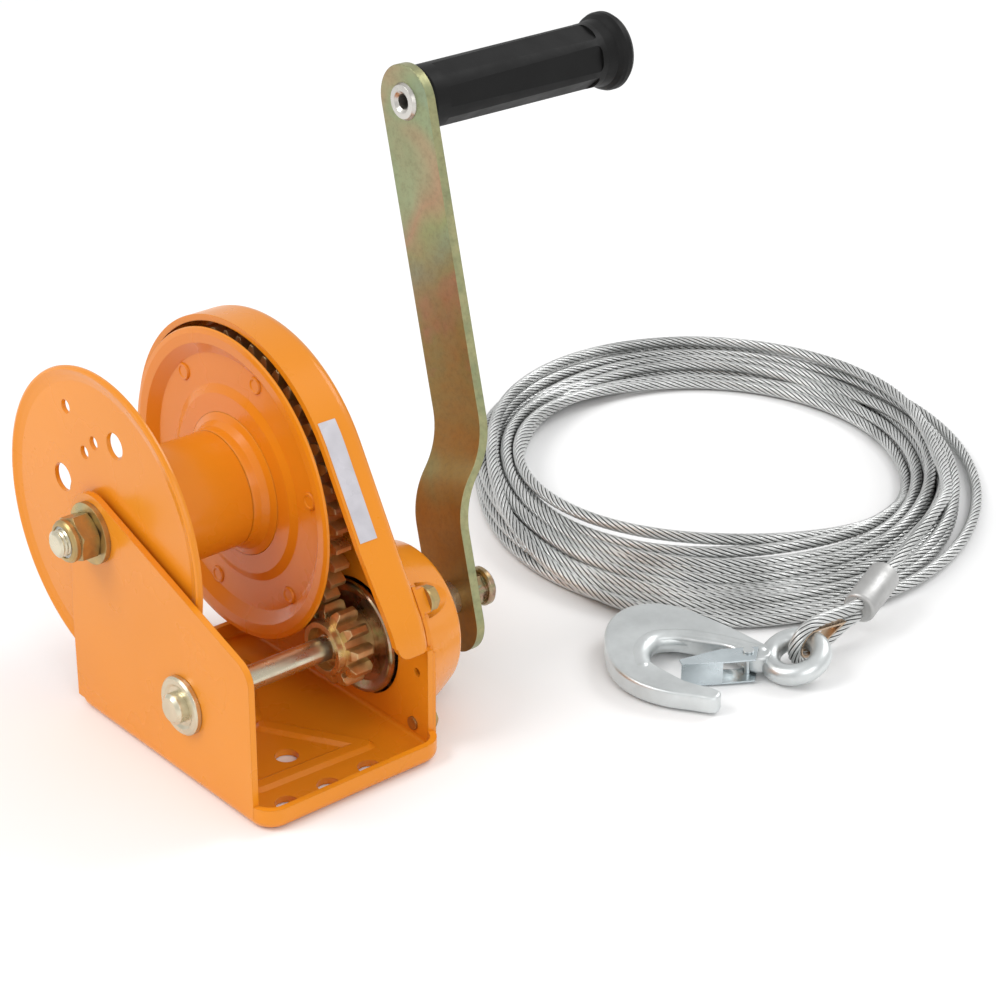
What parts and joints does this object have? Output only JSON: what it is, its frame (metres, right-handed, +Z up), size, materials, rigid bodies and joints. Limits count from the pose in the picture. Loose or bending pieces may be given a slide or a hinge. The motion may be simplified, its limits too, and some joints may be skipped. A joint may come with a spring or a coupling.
{
  "type": "boat trailer winch",
  "caption": "Geared hand winch with automatic load brake, cranked by a bent arm, with an empty drum and a coil of wire rope ending in a snap hook.",
  "frame": {"origin": "middle of the base, on its mounting face", "axes": "+Z up from the mounting face, +X towards the pinion end, +Y along the drum axle towards the crank"},
  "size_m": [0.3372, 0.5546, 0.2734],
  "materials": {
    "orange_paint": "glossy orange-yellow powder coat",
    "zinc_yellow": "yellow-passivated zinc, slightly iridescent",
    "zinc_bright": "bright zinc",
    "stamped_steel": "yellow-passivated stamped steel",
    "plain_steel": "oiled machined steel",
    "nylon_insert": "satin",
    "bronze": "sintered bronze",
    "friction": "pressed friction lining",
    "label": "gloss vinyl",
    "grip": "satin black",
    "rope": "galvanised wire strands",
    "ferrule": "pressed aluminium"
  },
  "bodies": {
    "frame": {"base_channel": "orange_paint", "gear_guard": "orange_paint", "brake_cover": "orange_paint", "cover_bolts": "zinc_yellow", "cover_washers": "zinc_yellow", "drum_axle": "zinc_bright", "axle_washers": "zinc_yellow", "axle_nut": "zinc_bright", "axle_nut_insert": "nylon_insert", "axle_spacers": "zinc_yellow", "shaft_bush": "bronze", "cover_bush": "bronze", "pawl_pin": "plain_steel", "pawl_spring": "plain_steel", "warning_label": "label"},
    "drum": {"drum_barrel": "orange_paint", "near_flange": "orange_paint", "far_flange": "orange_paint", "drum_gear": "stamped_steel", "flange_rivets": "orange_paint", "drum_bushes": "bronze", "barrel_welds": "orange_paint"},
    "shaft": {"pinion_shaft": "zinc_bright", "shaft_washer": "zinc_bright", "pinion": "plain_steel", "pressure_disc": "plain_steel", "end_washer": "zinc_yellow", "end_nut": "zinc_yellow"},
    "ratchet": {"ratchet_wheel": "plain_steel", "friction_disc_inner": "friction", "friction_disc_outer": "friction"},
    "pawl": {"pawl": "plain_steel"},
    "crank": {"drive_hub": "plain_steel", "crank_arm": "zinc_yellow", "grip_spindle": "zinc_bright", "grip_washer": "zinc_bright"},
    "grip": {"grip": "grip"},
    "rope": {"rope_coil": "rope", "rope_tail": "rope", "ferrule": "ferrule", "rope_eye": "rope", "thimble": "zinc_bright"},
    "hook": {"hook": "zinc_bright", "latch_pin": "zinc_bright"},
    "latch": {"latch": "zinc_yellow"}
  },
  "joints": [
    {"name": "drum_spin", "type": "hinge", "parent": "frame", "child": "drum", "pos_m": [-0.04794, 0, 0.09477], "axis": [0, 1, 0], "continuous": true},
    {"name": "pinion_spin", "type": "hinge", "parent": "frame", "child": "shaft", "pos_m": [0.016, 0, 0.038], "axis": [0, 1, 0], "continuous": true},
    {"name": "ratchet_turn", "type": "hinge", "parent": "frame", "child": "ratchet", "pos_m": [0.016, 0.05, 0.038], "axis": [0, 1, 0], "continuous": true},
    {"name": "pawl_lift", "type": "hinge", "parent": "frame", "child": "pawl", "pos_m": [0.00308, 0.053, 0.06999], "axis": [0, 1, 0], "range_deg": [-12, 0], "stiffness_Nm_per_rad": 0.05, "springref_deg": 8.59},
    {"name": "brake_release", "type": "hinge", "parent": "shaft", "child": "crank", "pos_m": [0.016, 0.09, 0.038], "axis": [0, 1, 0], "range_deg": [0, 20]},
    {"name": "grip_spin", "type": "hinge", "parent": "crank", "child": "grip", "pos_m": [-0.03933, 0.18, 0.25506], "axis": [0, 1, 0], "continuous": true},
    {"name": "rope_lift", "type": "slide", "parent": "frame", "child": "rope", "axis": [0, 0, 1], "range_m": [0, 0.15]},
    {"name": "hook_swing", "type": "hinge", "parent": "rope", "child": "hook", "pos_m": [0.121, 0.217, 0.0097], "axis": [0, 0, 1], "range_deg": [0, 25]},
    {"name": "latch_turn", "type": "hinge", "parent": "hook", "child": "latch", "pos_m": [0.10808, 0.19909, 0.0074], "axis": [0.0338, -0.0409, 0.9986], "range_deg": [-25, 0], "stiffness_Nm_per_rad": 0.03, "springref_deg": 20.05}
  ],
  "couplings": [
    {"joint": "pinion_spin", "follows": "drum_spin", "ratio": -4.1818}
  ]
}
